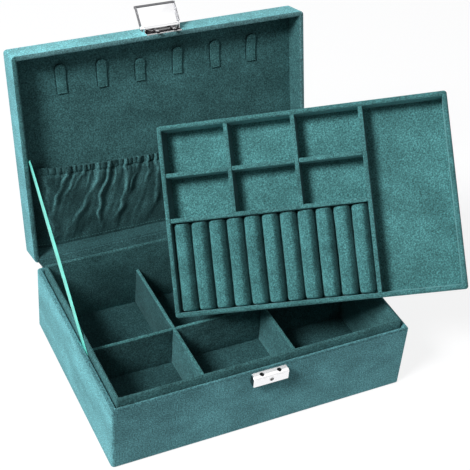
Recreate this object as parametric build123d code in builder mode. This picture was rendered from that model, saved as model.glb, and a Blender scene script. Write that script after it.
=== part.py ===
from build123d import *
import os
from math import cos, radians, sin

os.makedirs("parts", exist_ok=True)

# Overall sizes of the box: fabric covered board, millimetres
width = 260.0
depth = 180.0
base_height = 62.0
lid_height = 25.6
lid_open_angle = 103.9

# Boards of the case
wall = 4.0
bottom_board = 3.0
corner_radius = 3.0
edge_ease = 1.1
overrun = 1.0

# Liner that stands inside the base and rises as a lip into the lid
groove = 1.2
liner_board = 2.8
lip_rise = 6.0
floor_pad = 1.2

# Lift-out tray
tray_height = 25.5
tray_clearance = 1.5
tray_sink = 1.0
tray_wall = 4.0
tray_bottom = 2.5
tray_divider_board = 3.6
tray_divider_drop = 1.0
tray_long_space = 64.7
tray_top_row = 36.3
tray_second_row = 34.5

# Base dividers
divider_board = 3.0
divider_round = 1.2
slot_fit = 0.15
column_count = 3

inner_width = width - 2 * (wall + groove + liner_board)
inner_depth = depth - 2 * (wall + groove + liner_board)
lip_top = base_height + lip_rise
floor_top = bottom_board + floor_pad
divider_top = lip_top - tray_sink - tray_height
column_pitch = (inner_width + divider_board) / column_count

# Hinges between base and lid, at the back
hinge_reach = 2.2
hinge_lift = 0.4
lid_gap = 0.6
hinge_length = 32.0
hinge_inset = 21.0
knuckle_radius = 1.9
knuckle_count = 3
knuckle_gap = 0.3
leaf_board = 0.9
leaf_height = 15.0
leaf_clearance = 0.4
hinge_pin_radius = 0.9
pin_clearance = 0.05
screw_head_radius = 2.2
screw_head_rise = 0.9
screw_spacing = 20.0
screw_height = 9.0

axis_y = depth / 2 + hinge_reach
axis_z = base_height + hinge_lift
rim = lid_gap - hinge_lift
lid_top_board = 3.2
lid_panel_board = 1.6
panel_fit = 0.3
panel_face = rim + lid_height - lid_top_board - lid_panel_board
lid_front = -axis_y - depth / 2


def hinged_plane(point, angle):
    """A plane through point, turned back about X by angle from level."""
    turn = radians(angle)
    return Plane(origin=point, x_dir=(1, 0, 0), z_dir=(0, sin(turn), cos(turn)))


def side_plane(frame, x):
    """The plane across X at x, with the frame's Y and Z as its own axes."""
    return Plane(origin=frame.from_local_coords((x, 0, 0)), x_dir=frame.y_dir, z_dir=frame.x_dir)


def front_plane(frame, y):
    """The plane across the frame's Y at y, facing the front."""
    return Plane(origin=frame.from_local_coords((0, y, 0)), x_dir=frame.x_dir, z_dir=-frame.y_dir)


def rise_axis(frame):
    return Axis((0, 0, 0), tuple(frame.z_dir))


base_frame = hinged_plane((0, axis_y, axis_z), 0)
lid_frame = hinged_plane((0, axis_y, axis_z), lid_open_angle)

pieces = []


def keep(part, label):
    part.part.label = label
    pieces.append(part.part)


# Base case: bottom and four walls, covered as one
with BuildPart() as base_shell:
    with BuildSketch():
        RectangleRounded(width, depth, corner_radius)
    extrude(amount=base_height)
    with BuildSketch(Plane.XY.offset(bottom_board)):
        Rectangle(width - 2 * wall, depth - 2 * wall)
    extrude(amount=base_height, mode=Mode.SUBTRACT)
    chamfer(base_shell.edges().group_by(Axis.Z)[-1], edge_ease)
    chamfer(base_shell.edges().group_by(Axis.Z)[0], edge_ease)
keep(base_shell, "base_shell")

# Liner frame with its lip
with BuildPart() as base_liner:
    with BuildSketch(Plane.XY.offset(bottom_board)):
        RectangleRounded(
            width - 2 * (wall + groove), depth - 2 * (wall + groove), corner_radius - groove
        )
        Rectangle(inner_width, inner_depth, mode=Mode.SUBTRACT)
    extrude(amount=lip_top - bottom_board)
    chamfer(base_liner.edges().group_by(Axis.Z)[-1], edge_ease)
keep(base_liner, "base_liner")

# Lined floor of the compartments
with BuildPart() as base_floor:
    with BuildSketch(Plane.XY.offset(bottom_board)):
        Rectangle(inner_width, inner_depth)
    extrude(amount=floor_pad)
keep(base_floor, "base_floor")

# Three dividers, halved into each other, their rounded tops in one plane
lap_height = (floor_top + divider_top) / 2
cross_places = [-column_pitch / 2, column_pitch / 2]

with BuildPart() as long_divider:
    with BuildSketch(Plane.XY.offset(floor_top)):
        Rectangle(inner_width, divider_board)
    extrude(amount=divider_top - floor_top)
    fillet(long_divider.edges().group_by(Axis.Z)[-1].filter_by(Axis.X), divider_round)
    with BuildSketch(Plane.XY.offset(lap_height)):
        with Locations([(x, 0) for x in cross_places]):
            Rectangle(divider_board + 2 * slot_fit, divider_board + 2 * overrun)
    extrude(amount=divider_top, mode=Mode.SUBTRACT)
keep(long_divider, "long_divider")

for side, x in zip(("left", "right"), cross_places):
    with BuildPart() as cross_divider:
        with BuildSketch(Plane.XY.offset(floor_top)):
            with Locations((x, 0)):
                Rectangle(divider_board, inner_depth)
        extrude(amount=divider_top - floor_top)
        fillet(cross_divider.edges().group_by(Axis.Z)[-1].filter_by(Axis.Y), divider_round)
        with BuildSketch(Plane.XY.offset(lap_height + slot_fit)):
            with Locations((x, 0)):
                Rectangle(divider_board + 2 * overrun, divider_board + 2 * slot_fit)
        extrude(amount=-divider_top, mode=Mode.SUBTRACT)
    keep(cross_divider, "cross_divider_" + side)

# Lock on the front of the base: a pressed case with two holes on top for the hooks
lock_width = 31.0
lock_height = 9.2
lock_depth = 6.2
lock_drop = 1.0
lock_sheet = 0.8
lock_brow = 2.8
lock_side_ease = 0.6
hook_hole_radius = 1.9
hook_spacing = 15.2
hook_out = 3.1
plug_radius = 2.0
plug_drop = 5.0
plug_clearance = 0.05
plug_proud = 0.3
plug_length = 2.9
tail_radius = 1.0
tail_length = 2.2
lobe_reach = 2.6
lobe_width = 1.4
lobe_board = 1.2
keyhole_radius = 0.75
keyhole_slot = 0.7
keyhole_drop = 1.5
bolt_board = 0.8
bolt_width = 24.0
bolt_depth = 3.8
bolt_clearance = 0.15
bolt_travel = 1.2
bolt_lug_board = 1.0
bolt_lug_width = 1.4
bolt_lug_gap = 2.0

front = -depth / 2
lock_top = base_height - lock_drop
lock_bottom = lock_top - lock_height
hook_y = front - hook_out
plug_z = lock_top - plug_drop
bolt_bottom = plug_z + plug_radius + bolt_clearance
hook_width = 2.4
hook_board = 1.5
hook_slack = 0.4

with BuildPart() as lock_case:
    with BuildSketch(Plane.YZ.offset(-lock_width / 2)) as lock_profile:
        with Locations((front - lock_depth / 2, lock_bottom + lock_height / 2)):
            Rectangle(lock_depth, lock_height)
        fillet(lock_profile.vertices().group_by(Axis.Y)[-1].sort_by(Axis.X)[0], lock_brow)
    extrude(amount=lock_width)
    chamfer(
        lock_case.faces().sort_by(Axis.Y)[0].edges().filter_by(Axis.Z), lock_side_ease
    )
    with BuildSketch(Plane.YZ.offset(lock_sheet - lock_width / 2)) as lock_hollow:
        with Locations((front - (lock_depth - lock_sheet) / 2, lock_bottom + lock_height / 2)):
            Rectangle(lock_depth - lock_sheet, lock_height - 2 * lock_sheet)
        fillet(
            lock_hollow.vertices().group_by(Axis.Y)[-1].sort_by(Axis.X)[0], lock_brow - lock_sheet
        )
    extrude(amount=lock_width - 2 * lock_sheet, mode=Mode.SUBTRACT)
    with BuildSketch(Plane.XY.offset(lock_top + overrun)):
        with Locations((-hook_spacing / 2, hook_y), (hook_spacing / 2, hook_y)):
            Circle(hook_hole_radius)
    extrude(amount=-lock_height / 2, mode=Mode.SUBTRACT)
    with BuildSketch(Plane.XZ.offset(-front + lock_depth + overrun)):
        with Locations((0, plug_z)):
            Circle(plug_radius + plug_clearance)
    extrude(amount=-lock_depth / 2, mode=Mode.SUBTRACT)
keep(lock_case, "lock_case")

# Plug with its keyhole, and behind it the lobe that moves the bolt
plug_face = -front + lock_depth + plug_proud
with BuildPart() as lock_plug:
    with BuildSketch(Plane.XZ.offset(plug_face)):
        with Locations((0, plug_z)):
            Circle(plug_radius)
    extrude(amount=-plug_length)
    with BuildSketch(Plane.XZ.offset(plug_face - plug_length)):
        with Locations((0, plug_z)):
            Circle(tail_radius)
    extrude(amount=-tail_length)
    with BuildSketch(Plane.XZ.offset(plug_face - plug_length - tail_length)):
        with Locations((0, plug_z - lobe_reach / 2)):
            Rectangle(lobe_width, lobe_reach)
    extrude(amount=lobe_board)
    with BuildSketch(Plane.XZ.offset(plug_face + overrun)):
        with Locations((0, plug_z)):
            Circle(keyhole_radius)
        with Locations((0, plug_z - keyhole_drop / 2)):
            Rectangle(keyhole_slot, keyhole_drop)
    extrude(amount=-plug_length, mode=Mode.SUBTRACT)
keep(lock_plug, "lock_plug")

# Sliding bolt with a slot round each hook
lobe_back = front - lock_depth - plug_proud + plug_length + tail_length
with BuildPart() as lock_bolt:
    with BuildSketch(Plane.XY.offset(bolt_bottom)):
        with Locations((0, hook_y)):
            Rectangle(bolt_width, bolt_depth)
        with Locations((-hook_spacing / 2, hook_y), (hook_spacing / 2, hook_y)):
            Rectangle(
                hook_width + 2 * hook_slack, hook_board + 2 * hook_slack, mode=Mode.SUBTRACT
            )
    extrude(amount=bolt_board)
    with BuildSketch(Plane.XY.offset(bolt_bottom)):
        with Locations((-bolt_lug_gap - bolt_lug_width / 2, lobe_back - lobe_board / 2)):
            Rectangle(bolt_lug_width, bolt_lug_board)
    extrude(amount=plug_z - lobe_width - bolt_bottom)
keep(lock_bolt, "lock_bolt")

# Two butt hinges
knuckle_pitch = hinge_length / knuckle_count
knuckle_length = knuckle_pitch - knuckle_gap


def knuckle_centres(first):
    return [(k + 0.5) * knuckle_pitch - hinge_length / 2 for k in range(first, knuckle_count, 2)]


def hinge_leaf(frame, x, side, first):
    """One leaf: a plate on the back of the case and the knuckles rolled from it."""
    outer = front_plane(frame, -hinge_reach)
    reach = knuckle_radius + leaf_clearance
    with BuildPart() as leaf:
        with BuildSketch(outer):
            with Locations((x, side * (reach + leaf_height) / 2)):
                Rectangle(hinge_length, leaf_height - reach)
            with Locations([(x + c, side * reach / 2) for c in knuckle_centres(first)]):
                Rectangle(knuckle_length, reach)
        extrude(amount=-leaf_board)
        for c in knuckle_centres(first):
            with BuildSketch(side_plane(frame, x + c - knuckle_length / 2)):
                Circle(knuckle_radius)
            extrude(amount=knuckle_length)
        with BuildSketch(side_plane(frame, x - hinge_length)):
            Circle(hinge_pin_radius + pin_clearance)
        extrude(amount=2 * hinge_length, mode=Mode.SUBTRACT)
    return leaf


def hinge_screws(frame, side):
    """The heads of the screws that hold both leaves on one half."""
    with BuildPart() as screws:
        with BuildSketch(front_plane(frame, leaf_board - hinge_reach)):
            for x in hinge_places:
                with Locations(
                    (x - screw_spacing / 2, side * screw_height),
                    (x + screw_spacing / 2, side * screw_height),
                ):
                    Circle(screw_head_radius)
        extrude(amount=-screw_head_rise)
    return screws


hinge_places = [hinge_inset - width / 2, width / 2 - hinge_inset]
for side, x in zip(("left", "right"), hinge_places):
    keep(hinge_leaf(base_frame, x, -1, 0), "hinge_leaf_base_" + side)
    keep(hinge_leaf(lid_frame, x, 1, 1), "hinge_leaf_lid_" + side)
    with BuildPart() as hinge_pin:
        with BuildSketch(side_plane(base_frame, x - hinge_length / 2)):
            Circle(hinge_pin_radius)
        extrude(amount=hinge_length)
    keep(hinge_pin, "hinge_pin_" + side)
keep(hinge_screws(base_frame, -1), "hinge_screws_base")
keep(hinge_screws(lid_frame, 1), "hinge_screws_lid")

# Ribbon stays: flat bands from the groove in the base to the inside of the lid
ribbon_width = 7.0
ribbon_board = 0.5
ribbon_foot_y = -15.0
ribbon_foot_z = 62.0
ribbon_tuck = 14.0
ribbon_lid_reach = 96.2
ribbon_lid_tuck = 6.0

ribbon_top = lid_frame.from_local_coords((0, -ribbon_lid_reach, rim))
ribbon_run = Vector(0, ribbon_top.Y - ribbon_foot_y, ribbon_top.Z - ribbon_foot_z)
ribbon_length = ribbon_tuck + ribbon_run.length + ribbon_lid_tuck
for side, sign in (("left", -1), ("right", 1)):
    middle = sign * (width / 2 - wall - groove / 2)
    start = Vector(middle, ribbon_foot_y, ribbon_foot_z) - ribbon_run.normalized() * ribbon_tuck
    with BuildPart() as ribbon:
        with BuildSketch(Plane(origin=start, x_dir=(1, 0, 0), z_dir=ribbon_run)):
            Rectangle(ribbon_board, ribbon_width)
        extrude(amount=ribbon_length)
    keep(ribbon, "ribbon_" + side)

# Lid case, open side towards the base
with BuildPart() as lid_shell:
    with BuildSketch(lid_frame.offset(rim)):
        with Locations((0, -axis_y)):
            RectangleRounded(width, depth, corner_radius)
    extrude(amount=lid_height)
    with BuildSketch(lid_frame.offset(rim)):
        with Locations((0, -axis_y)):
            Rectangle(width - 2 * wall, depth - 2 * wall)
    extrude(amount=lid_height - lid_top_board, mode=Mode.SUBTRACT)
    chamfer(lid_shell.edges().group_by(rise_axis(lid_frame))[0], edge_ease)
    chamfer(lid_shell.edges().group_by(rise_axis(lid_frame))[-1], edge_ease)
keep(lid_shell, "lid_shell")

# Lining panel under the top of the lid
with BuildPart() as lid_panel:
    with BuildSketch(lid_frame.offset(panel_face)):
        with Locations((0, -axis_y)):
            Rectangle(width - 2 * (wall + panel_fit), depth - 2 * (wall + panel_fit))
    extrude(amount=lid_panel_board)
keep(lid_panel, "lid_panel")

# Necklace tabs: sewn down at the hinge end, standing off the panel at the rounded end
tab_count = 6
tab_pitch_share = 0.1346
tab_width = 8.6
tab_board = 1.5
tab_length = 25.5
tab_seat = 7.0
tab_lift = 2.4
tab_foot = 139.0
tab_tip_round = 4.0
tab_pitch = tab_pitch_share * width

for n in range(tab_count):
    x = (n - (tab_count - 1) / 2) * tab_pitch
    with BuildPart() as tab:
        with BuildSketch(side_plane(lid_frame, x - tab_width / 2)):
            with BuildLine():
                seat = Line((-tab_foot, panel_face), (-tab_foot - tab_seat, panel_face))
                under = TangentArc(
                    seat @ 1, (-tab_foot - tab_length, panel_face - tab_lift), tangent=seat % 1
                )
                tip = Line(under @ 1, under @ 1 + Vector(0, -tab_board))
                crest = Line(
                    (-tab_foot, panel_face - tab_board),
                    (-tab_foot - tab_seat, panel_face - tab_board),
                )
                TangentArc(crest @ 1, tip @ 1, tangent=crest % 1)
                Line(seat @ 0, crest @ 0)
            make_face()
        extrude(amount=tab_width)
        tip_edges = tab.edges().filter_by(Axis((0, 0, 0), tuple(lid_frame.z_dir)))
        fillet(
            tip_edges.group_by(Axis((0, 0, 0), tuple(lid_frame.y_dir)))[0], tab_tip_round
        )
    keep(tab, "necklace_tab_" + str(n + 1))

# Gathered pocket on the hinge half of the lid: a cloth scoop, sewn down on three sides
pocket_side_gap = 0.6
pocket_foot = 6.8
pocket_mouth = 78.0
pocket_belly = 44.0
pocket_cloth = 1.2
pocket_rise = 10.0
pocket_belly_rise = 8.6
pocket_foot_rise = 2.2
pocket_shoulder = 9.0
pocket_seat = 0.3
fold_count = 12
fold_depth = 1.1
foot_fold_depth = 0.25
pocket_half = width / 2 - wall - pocket_side_gap


def pocket_section(reach, rise, fold):
    """A cross-section of the cloth: up from the panel, waved over the top, and down."""
    level = panel_face - pocket_seat
    span = 2 * (pocket_half - pocket_shoulder) / fold_count
    places = [k * span - pocket_half + pocket_shoulder for k in range(fold_count + 1)]
    with BuildSketch(front_plane(lid_frame, -reach)) as section:
        with BuildLine():
            for inset in (0, pocket_cloth):
                top = level - rise + inset
                Line((inset - pocket_half, level), (places[0] + inset / 2, top))
                Line((pocket_half - inset, level), (places[-1] - inset / 2, top))
                for k in range(fold_count):
                    left = places[k] + (inset / 2 if k == 0 else 0)
                    right = places[k + 1] - (inset / 2 if k == fold_count - 1 else 0)
                    swing = fold if k % 2 else -fold
                    ThreePointArc(
                        (left, top), ((left + right) / 2, top + swing), (right, top)
                    )
            Line((-pocket_half, level), (pocket_cloth - pocket_half, level))
            Line((pocket_half, level), (pocket_half - pocket_cloth, level))
        make_face()
    return section


with BuildPart() as lid_pocket:
    foot = pocket_section(pocket_foot, pocket_foot_rise, foot_fold_depth)
    belly = pocket_section(pocket_belly, pocket_belly_rise, fold_depth)
    mouth = pocket_section(pocket_mouth, pocket_rise, fold_depth)
    loft([foot.sketch, belly.sketch, mouth.sketch], ruled=True)
keep(lid_pocket, "lid_pocket")

# Hasp on the front of the lid: a plate whose two ears carry the pin of the flap
hasp_width = 31.4
hasp_height = 15.0
hasp_sheet = 1.0
hasp_foot = 1.2
hasp_pin_out = 4.0
hasp_pin_rise = 7.0
hasp_knuckle_radius = 1.6
hasp_pin_radius = 0.8
hasp_clearance = 0.3
ear_radius = 1.9
ear_sheet = 0.8
hook_bar_width = 28.8
hook_bar_foot = 2.0
hook_bar_height = 11.0
hook_bar_board = 0.8
hook_arm = 2.4
hook_drop = 5.8
hook_point = 0.5
notch_depth = 1.0
notch_slack = 0.3
flap_width = 35.0
flap_sheet = 0.8
flap_out = 3.8
flap_length = 20.4
flap_flange = 3.6
flap_bead_radius = 1.3
flap_raise_angle = 123.1

hasp_pin_y = lid_front - hasp_pin_out
hasp_pin_z = rim + hasp_pin_rise
flap_roll_width = hasp_width - 2 * (ear_sheet + hasp_clearance)

with BuildPart() as hasp_plate:
    with BuildSketch(front_plane(lid_frame, lid_front)):
        with Locations((0, hasp_foot + hasp_height / 2)):
            Rectangle(hasp_width, hasp_height)
    extrude(amount=hasp_sheet)
    for x in (-hasp_width / 2, hasp_width / 2 - ear_sheet):
        with BuildSketch(side_plane(lid_frame, x)):
            with Locations((lid_front - hasp_pin_out / 2, hasp_pin_z)):
                Rectangle(hasp_pin_out, 2 * ear_radius)
            with Locations((hasp_pin_y, hasp_pin_z)):
                Circle(ear_radius)
                Circle(hasp_pin_radius + pin_clearance, mode=Mode.SUBTRACT)
        extrude(amount=ear_sheet)
keep(hasp_plate, "hasp_plate")

with BuildPart() as hasp_pin:
    with BuildSketch(side_plane(lid_frame, -hasp_width / 2)):
        with Locations((hasp_pin_y, hasp_pin_z)):
            Circle(hasp_pin_radius)
    extrude(amount=hasp_width)
keep(hasp_pin, "hasp_pin")

# Hook bar on the plate, with two notched hooks that reach past the rim
hook_tip = rim - lid_gap - hook_drop
notch_middle = bolt_bottom + bolt_board / 2 - axis_z
hook_inner = hook_out - hook_board / 2
with BuildPart() as hasp_hooks:
    with BuildSketch(front_plane(lid_frame, lid_front - hasp_sheet)):
        with Locations((0, hook_bar_foot + hook_bar_height / 2)):
            Rectangle(hook_bar_width, hook_bar_height)
    extrude(amount=hook_bar_board)
    for x in (-hook_spacing / 2, hook_spacing / 2):
        with BuildSketch(side_plane(lid_frame, x - hook_width / 2)):
            with BuildLine():
                Polyline(
                    (lid_front - hasp_sheet - hook_bar_board, hook_bar_foot + hook_arm),
                    (lid_front - hasp_sheet - hook_bar_board, hook_bar_foot),
                    (lid_front - hook_inner, hook_bar_foot),
                    (lid_front - hook_inner, hook_tip),
                    (lid_front - hook_inner - hook_board, hook_tip),
                    (lid_front - hook_inner - hook_board, hook_bar_foot + hook_arm),
                    close=True,
                )
            make_face()
        extrude(amount=hook_width)
        with BuildSketch(front_plane(lid_frame, lid_front - hook_inner)):
            with Locations((x + hook_width / 2 - notch_depth / 2, notch_middle)):
                Rectangle(notch_depth, bolt_board + 2 * notch_slack)
        extrude(amount=hook_board, mode=Mode.SUBTRACT)
    chamfer(
        hasp_hooks.faces().sort_by(rise_axis(lid_frame))[0:2].edges().filter_by(Axis.X), hook_point
    )
keep(hasp_hooks, "hasp_hooks")

# Flap, shown raised: a flanged cover for the lock with a beaded free edge, rolled on its pin
flap_frame = hinged_plane(
    lid_frame.from_local_coords((0, hasp_pin_y, hasp_pin_z)), lid_open_angle + flap_raise_angle
)
flap_root = flap_sheet - hasp_knuckle_radius
flap_body = flap_length + flap_root
with BuildPart() as hasp_flap:
    with BuildSketch(side_plane(flap_frame, -flap_width / 2)):
        with Locations((flap_sheet / 2 - flap_out, flap_root - flap_body / 2)):
            Rectangle(flap_sheet, flap_body)
    extrude(amount=flap_width)
    with BuildSketch(side_plane(flap_frame, -flap_roll_width / 2)):
        Circle(hasp_knuckle_radius)
        with Locations((-flap_out / 2, flap_sheet / 2 - hasp_knuckle_radius)):
            Rectangle(flap_out, flap_sheet)
        Circle(hasp_pin_radius + pin_clearance, mode=Mode.SUBTRACT)
    extrude(amount=flap_roll_width)
    for x in (-flap_width / 2, flap_width / 2 - flap_sheet):
        with BuildSketch(side_plane(flap_frame, x)):
            with Locations((flap_flange / 2 - flap_out, -flap_length / 2 - hasp_knuckle_radius)):
                Rectangle(flap_flange, flap_length - 2 * hasp_knuckle_radius)
        extrude(amount=flap_sheet)
    with BuildSketch(side_plane(flap_frame, -flap_width / 2)):
        with Locations((-flap_out, -flap_length)):
            Circle(flap_bead_radius)
    extrude(amount=flap_width)
keep(hasp_flap, "hasp_flap")

# Tray, lifted out and leaning: its lower edge rests on the long divider
tray_tilt_angle = 45.476
tray_roll_angle = -30.843
tray_spin_angle = -8.510
tray_edge_share = 0.1701
tray_rest_share = 0.0378
tray_rest_gap = 0.3
tray_width = inner_width - 2 * tray_clearance
tray_depth = inner_depth - 2 * tray_clearance
tray_rim_ease = 1.3
tray_corner = 2.5
tray_lean = Plane(Location((0, 0, 0), (tray_tilt_angle, tray_roll_angle, tray_spin_angle)))
tray_edge = tray_lean.from_local_coords(
    (tray_edge_share * tray_width - tray_width / 2, -tray_depth / 2, -tray_height)
)
tray_rest = Vector(tray_rest_share * width, divider_board / 2, divider_top + tray_rest_gap)
tray_frame = Plane(
    origin=tray_rest - tray_edge, x_dir=tray_lean.x_dir, z_dir=tray_lean.z_dir
)
tray_floor_top = tray_bottom - tray_height
tray_inner_width = tray_width - 2 * tray_wall
tray_inner_depth = tray_depth - 2 * tray_wall
tray_left = -tray_inner_width / 2
tray_back = tray_inner_depth / 2
block_width = tray_inner_width - tray_long_space - tray_divider_board
block_middle = tray_left + block_width / 2
long_x = tray_left + block_width + tray_divider_board / 2
row_y = tray_back - tray_top_row - tray_divider_board / 2
ring_y = row_y - tray_second_row - tray_divider_board
column_step = (block_width + tray_divider_board) / column_count
divider_height = tray_height - tray_bottom - tray_divider_drop
tray_lap = tray_floor_top + divider_height / 2

with BuildPart() as tray_walls:
    with BuildSketch(tray_frame):
        RectangleRounded(tray_width, tray_depth, tray_corner)
        Rectangle(tray_inner_width, tray_inner_depth, mode=Mode.SUBTRACT)
    extrude(amount=-tray_height)
    chamfer(tray_walls.edges().group_by(rise_axis(tray_frame))[-1], tray_rim_ease)
keep(tray_walls, "tray_walls")

with BuildPart() as tray_floor:
    with BuildSketch(tray_frame.offset(-tray_height)):
        Rectangle(tray_inner_width, tray_inner_depth)
    extrude(amount=tray_bottom)
keep(tray_floor, "tray_floor")

with BuildPart() as tray_long_divider:
    with BuildSketch(tray_frame.offset(tray_floor_top)):
        with Locations((long_x, 0)):
            Rectangle(tray_divider_board, tray_inner_depth)
    extrude(amount=divider_height)
keep(tray_long_divider, "tray_long_divider")

with BuildPart() as tray_ring_divider:
    with BuildSketch(tray_frame.offset(tray_floor_top)):
        with Locations((block_middle, ring_y)):
            Rectangle(block_width, tray_divider_board)
    extrude(amount=divider_height)
keep(tray_ring_divider, "tray_ring_divider")

column_left = tray_left + column_step - tray_divider_board / 2
column_places = [column_left, column_left + column_step]
with BuildPart() as tray_row_divider:
    with BuildSketch(tray_frame.offset(tray_floor_top)):
        with Locations((block_middle, row_y)):
            Rectangle(block_width, tray_divider_board)
    extrude(amount=divider_height)
    with BuildSketch(tray_frame.offset(tray_lap)):
        with Locations([(x, row_y) for x in column_places]):
            Rectangle(tray_divider_board + 2 * slot_fit, tray_divider_board + 2 * overrun)
    extrude(amount=divider_height, mode=Mode.SUBTRACT)
keep(tray_row_divider, "tray_row_divider")

column_length = tray_back - ring_y - tray_divider_board / 2
for side, x in zip(("left", "right"), column_places):
    with BuildPart() as column_divider:
        with BuildSketch(tray_frame.offset(tray_floor_top)):
            with Locations((x, tray_back - column_length / 2)):
                Rectangle(tray_divider_board, column_length)
        extrude(amount=divider_height)
        with BuildSketch(tray_frame.offset(tray_lap + slot_fit)):
            with Locations((x, row_y)):
                Rectangle(tray_divider_board + 2 * overrun, tray_divider_board + 2 * slot_fit)
        extrude(amount=-divider_height, mode=Mode.SUBTRACT)
    keep(column_divider, "tray_column_divider_" + side)

# Ring rolls: padded bars side by side, gripping rings between them
roll_count = 11
roll_gap = 0.4
roll_drop = 3.2
roll_end_gap = 0.4
roll_end_ease = 2.4
roll_space = ring_y - tray_divider_board / 2 + tray_back
roll_pitch = block_width / roll_count
roll_width = roll_pitch - roll_gap
roll_length = roll_space - 2 * roll_end_gap
roll_height = tray_height - tray_bottom - roll_drop
for n in range(roll_count):
    x = tray_left + (n + 0.5) * roll_pitch
    with BuildPart() as roll:
        with BuildSketch(front_plane(tray_frame, roll_end_gap - tray_back + roll_length)):
            with Locations((x, tray_floor_top + (roll_height - roll_width / 2) / 2)):
                Rectangle(roll_width, roll_height - roll_width / 2)
            with Locations((x, tray_floor_top + roll_height - roll_width / 2)):
                Circle(roll_width / 2)
        extrude(amount=roll_length)
        ends = roll.faces().filter_by(Axis((0, 0, 0), tuple(tray_frame.y_dir)))
        crowns = ends.edges().filter_by(GeomType.CIRCLE)
        chamfer(crowns, roll_end_ease)
    keep(roll, "ring_roll_" + str(n + 1).zfill(2))

for piece in pieces:
    export_step(piece, "parts/" + piece.label + ".step")
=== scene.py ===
import math

import bpy
from mathutils import Matrix, Vector, noise


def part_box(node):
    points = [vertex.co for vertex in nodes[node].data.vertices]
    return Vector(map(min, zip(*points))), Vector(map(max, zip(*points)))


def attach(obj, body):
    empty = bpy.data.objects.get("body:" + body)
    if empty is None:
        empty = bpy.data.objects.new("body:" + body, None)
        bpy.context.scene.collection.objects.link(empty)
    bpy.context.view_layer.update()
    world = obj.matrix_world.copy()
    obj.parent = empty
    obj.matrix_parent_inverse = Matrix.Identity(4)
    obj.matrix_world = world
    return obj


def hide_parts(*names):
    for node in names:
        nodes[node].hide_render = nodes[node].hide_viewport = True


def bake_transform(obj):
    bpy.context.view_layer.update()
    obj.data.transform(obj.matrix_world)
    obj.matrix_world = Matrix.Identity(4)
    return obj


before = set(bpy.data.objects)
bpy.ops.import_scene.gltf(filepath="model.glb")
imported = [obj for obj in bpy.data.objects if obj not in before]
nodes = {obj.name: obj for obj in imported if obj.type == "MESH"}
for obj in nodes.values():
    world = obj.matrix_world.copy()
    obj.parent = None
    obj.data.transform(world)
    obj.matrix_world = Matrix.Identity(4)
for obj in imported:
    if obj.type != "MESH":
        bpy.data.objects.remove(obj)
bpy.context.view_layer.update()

MM = 0.001
ACROSS = Vector((1, 0, 0))
BACKWARD = Vector((0, 1, 0))

# the lid and the tray stand turned, so each has its own corner and directions
LID_OPEN = math.radians(103.9)
LID_HINGE = Vector((0, 0.0922, 0.0624))
LID_BACK = Vector((0, math.cos(LID_OPEN), -math.sin(LID_OPEN)))
LID_UP = Vector((0, math.sin(LID_OPEN), math.cos(LID_OPEN)))
PANEL_FACE = 0.0210

TRAY_TURN = (
    Matrix.Rotation(math.radians(45.476), 3, "X")
    @ Matrix.Rotation(math.radians(-30.843), 3, "Y")
    @ Matrix.Rotation(math.radians(-8.510), 3, "Z")
)
TRAY_MIDDLE = Vector((0.0744925, 0.0003708, 0.1380752))
TRAY_PLACE = Matrix.Translation(TRAY_MIDDLE) @ TRAY_TURN.to_4x4()


def in_lid(x, reach, height):
    """A point in the lid: across, out from the hinge line, and up from the rim side."""
    return LID_HINGE + Vector((x, 0, 0)) - LID_BACK * reach + LID_UP * height


def lid_reach(point):
    """How far out from the hinge line a point of the lid lies."""
    return (LID_HINGE - point).dot(LID_BACK)


def lid_height(point):
    """How far up from the rim side a point of the lid lies."""
    return (point - LID_HINGE).dot(LID_UP)


# materials

def new_material(name):
    made = bpy.data.materials.new(name)
    made.use_nodes = True
    tree = made.node_tree
    shader = tree.nodes["Principled BSDF"]
    return made, tree, shader


def noise_texture(tree, scale, detail, stretch=None):
    place = tree.nodes.new("ShaderNodeTexCoord")
    grain = tree.nodes.new("ShaderNodeTexNoise")
    grain.inputs["Scale"].default_value = scale
    grain.inputs["Detail"].default_value = detail
    if stretch is None:
        tree.links.new(place.outputs["Object"], grain.inputs["Vector"])
    else:
        mapping = tree.nodes.new("ShaderNodeMapping")
        mapping.inputs["Scale"].default_value = stretch
        tree.links.new(place.outputs["Object"], mapping.inputs["Vector"])
        tree.links.new(mapping.outputs["Vector"], grain.inputs["Vector"])
    return grain


def ramp(tree, source, stops):
    made = tree.nodes.new("ShaderNodeValToRGB")
    row = made.color_ramp.elements
    row[0].position, row[0].color = stops[0][0], (*stops[0][1], 1)
    row[1].position, row[1].color = stops[-1][0], (*stops[-1][1], 1)
    for place, colour in stops[1:-1]:
        row.new(place).color = (*colour, 1)
    tree.links.new(source, made.inputs["Fac"])
    return made.outputs["Color"]


def grey(level):
    return (level, level, level)


def tinted(colour, share):
    return tuple(min(1.0, part * share) for part in colour)


def multiply(tree, first, second):
    mix = tree.nodes.new("ShaderNodeMix")
    mix.data_type = "RGBA"
    mix.blend_type = "MULTIPLY"
    mix.inputs["Factor"].default_value = 1.0
    tree.links.new(first, mix.inputs["A"])
    tree.links.new(second, mix.inputs["B"])
    return mix.outputs["Result"]


def map_range(tree, source, low, high, from_low=0.0, from_high=1.0):
    made = tree.nodes.new("ShaderNodeMapRange")
    made.inputs["From Min"].default_value = from_low
    made.inputs["From Max"].default_value = from_high
    made.inputs["To Min"].default_value = low
    made.inputs["To Max"].default_value = high
    tree.links.new(source, made.inputs["Value"])
    return made.outputs["Result"]


def larger(tree, first, second):
    made = tree.nodes.new("ShaderNodeMath")
    made.operation = "MAXIMUM"
    tree.links.new(first, made.inputs[0])
    tree.links.new(second, made.inputs[1])
    return made.outputs["Value"]


def bump(tree, grain, strength, depth):
    made = tree.nodes.new("ShaderNodeBump")
    made.inputs["Strength"].default_value = strength
    made.inputs["Distance"].default_value = depth
    tree.links.new(grain.outputs["Fac"], made.inputs["Height"])
    return made


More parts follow.
